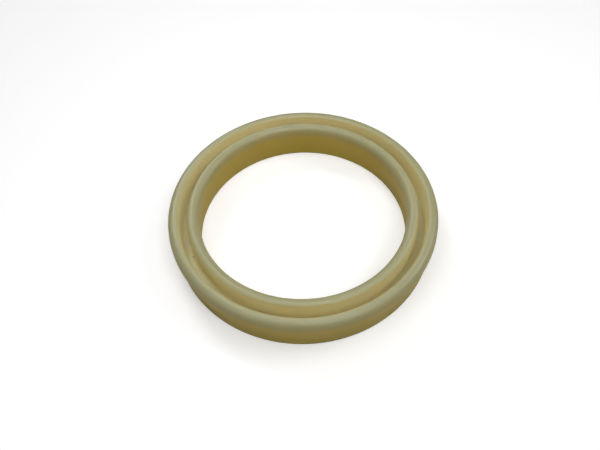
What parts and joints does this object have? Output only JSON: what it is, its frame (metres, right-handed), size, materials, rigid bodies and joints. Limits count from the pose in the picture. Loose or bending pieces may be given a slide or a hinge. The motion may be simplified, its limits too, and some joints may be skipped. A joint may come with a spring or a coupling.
{
  "type": "u cup seal",
  "caption": "Moulded polyurethane U cup seal ring with a solid heel, a round-bottomed groove and two flared sealing lips.",
  "frame": {"origin": "centre of the ring's heel face, on the ring's axis, at the height of the surface that the ring lies on", "axes": "+Z along the ring's axis, from the heel towards the lips; X and Y are any two directions across the ring, which is round"},
  "size_m": [0.1016, 0.1016, 0.0155],
  "materials": {
    "natural_polyurethane": "satin moulded, slightly translucent, natural ivory to straw colour"
  },
  "bodies": {
    "root": {"seal_ring": "natural_polyurethane"}
  },
  "joints": []
}
